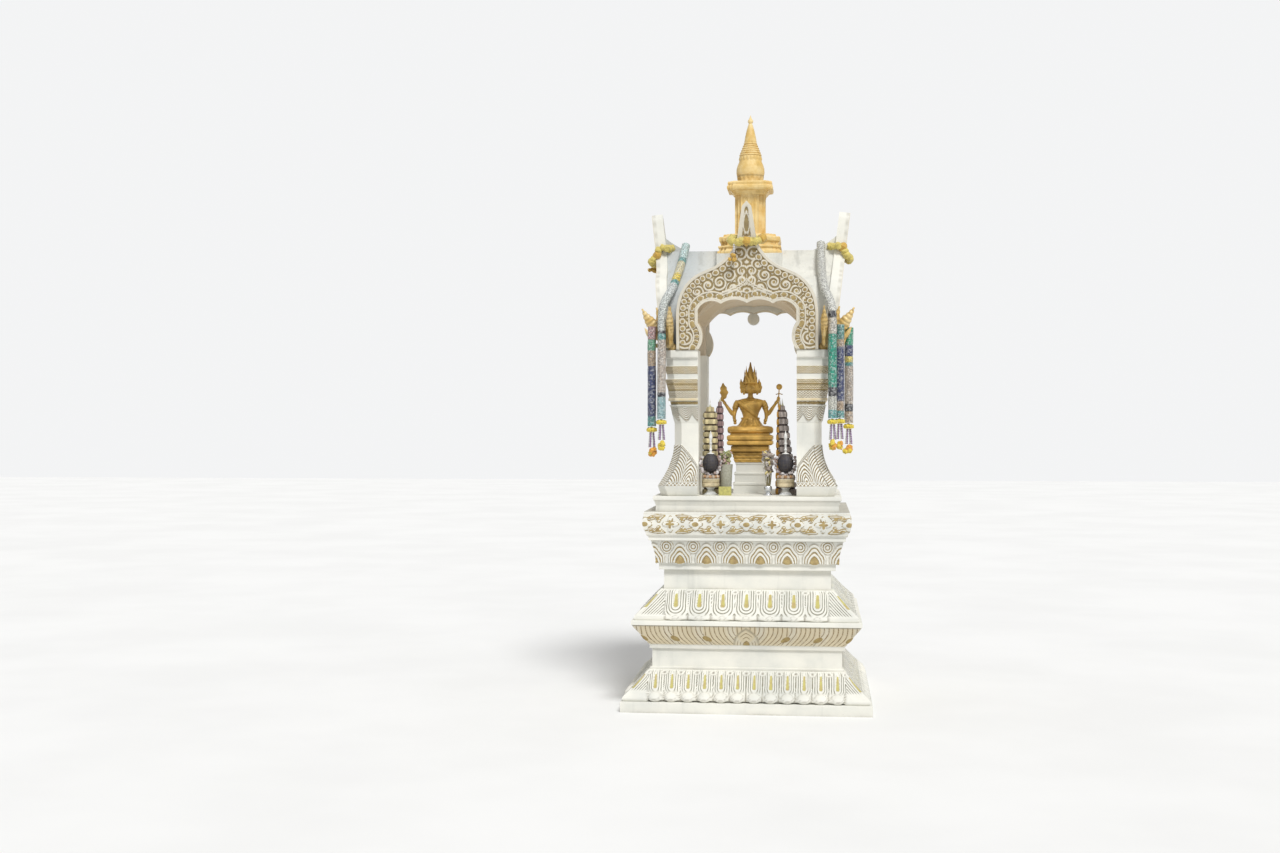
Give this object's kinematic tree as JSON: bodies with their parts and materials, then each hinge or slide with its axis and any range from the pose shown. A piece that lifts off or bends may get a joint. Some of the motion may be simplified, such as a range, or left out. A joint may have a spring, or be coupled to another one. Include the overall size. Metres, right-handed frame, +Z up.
{
  "type": "spirit house",
  "caption": "Four-faced masonry spirit house: stepped carved base, pillared niche with a seated gilded figure, ogee gables, gold spire and bead garlands",
  "frame": {"origin": "centre of the footing's underside, on the ground", "axes": "+Z up; the front, which the figure faces, looks along -Y; +X is to the right seen from the front"},
  "size_m": [1.17, 1.17, 2.888],
  "materials": {
    "white_paint": "weathered white masonry paint",
    "gold_trim": "gold masonry paint",
    "tower_gold": "ochre gold paint",
    "gilt": "satin gilt",
    "bead_navy": "threaded beads",
    "bead_beige": "threaded beads",
    "bead_green": "threaded beads",
    "blossom": "cloth and paper blossoms",
    "woven_dark": "woven",
    "silver": "polished",
    "leaf_fold": "folded tiers",
    "clear_glass": "clear",
    "wax": "wax"
  },
  "bodies": {
    "root": {"altar": "white_paint", "candles": "wax", "capital_back_left": "white_paint", "capital_back_right": "white_paint", "capital_front_left": "white_paint", "capital_front_right": "white_paint", "corner_heads_back_left": "gold_trim", "corner_heads_back_right": "gold_trim", "corner_heads_front_left": "gold_trim", "corner_heads_front_right": "gold_trim", "flame_leaf_course": "white_paint", "flower_course": "white_paint", "flower_garland_front": "blossom", "flower_garland_left": "blossom", "flower_garland_right": "blossom", "flower_tails": "blossom", "gable_back": "white_paint", "gable_front": "white_paint", "gable_left": "white_paint", "gable_right": "white_paint", "garland_beige_left": "bead_beige", "garland_beige_right": "bead_beige", "garland_green_right": "bead_green", "garland_navy_left": "bead_navy", "garland_navy_right": "bead_navy", "garland_tassels_left": "blossom", "garland_tassels_right": "blossom", "incense_stand": "silver", "leaf_towers": "leaf_fold", "lotus_arch_course": "white_paint", "lower_dado": "white_paint", "lower_petal_course": "white_paint", "offering_balls": "woven_dark", "offering_bowls": "silver", "patterned_box": "gold_trim", "pillar_back_left": "white_paint", "pillar_back_right": "white_paint", "pillar_front_left": "white_paint", "pillar_front_right": "white_paint", "platform": "white_paint", "plinth": "white_paint", "roof": "white_paint", "spire_bulb": "tower_gold", "spire_tip": "tower_gold", "statue_body": "gilt", "statue_head": "gilt", "statue_seat": "gilt", "tower_base": "tower_gold", "tower_cornice": "tower_gold", "tower_shaft": "tower_gold", "tumbler": "clear_glass", "upper_dado": "white_paint", "upper_petal_course": "white_paint"}
  },
  "joints": []
}
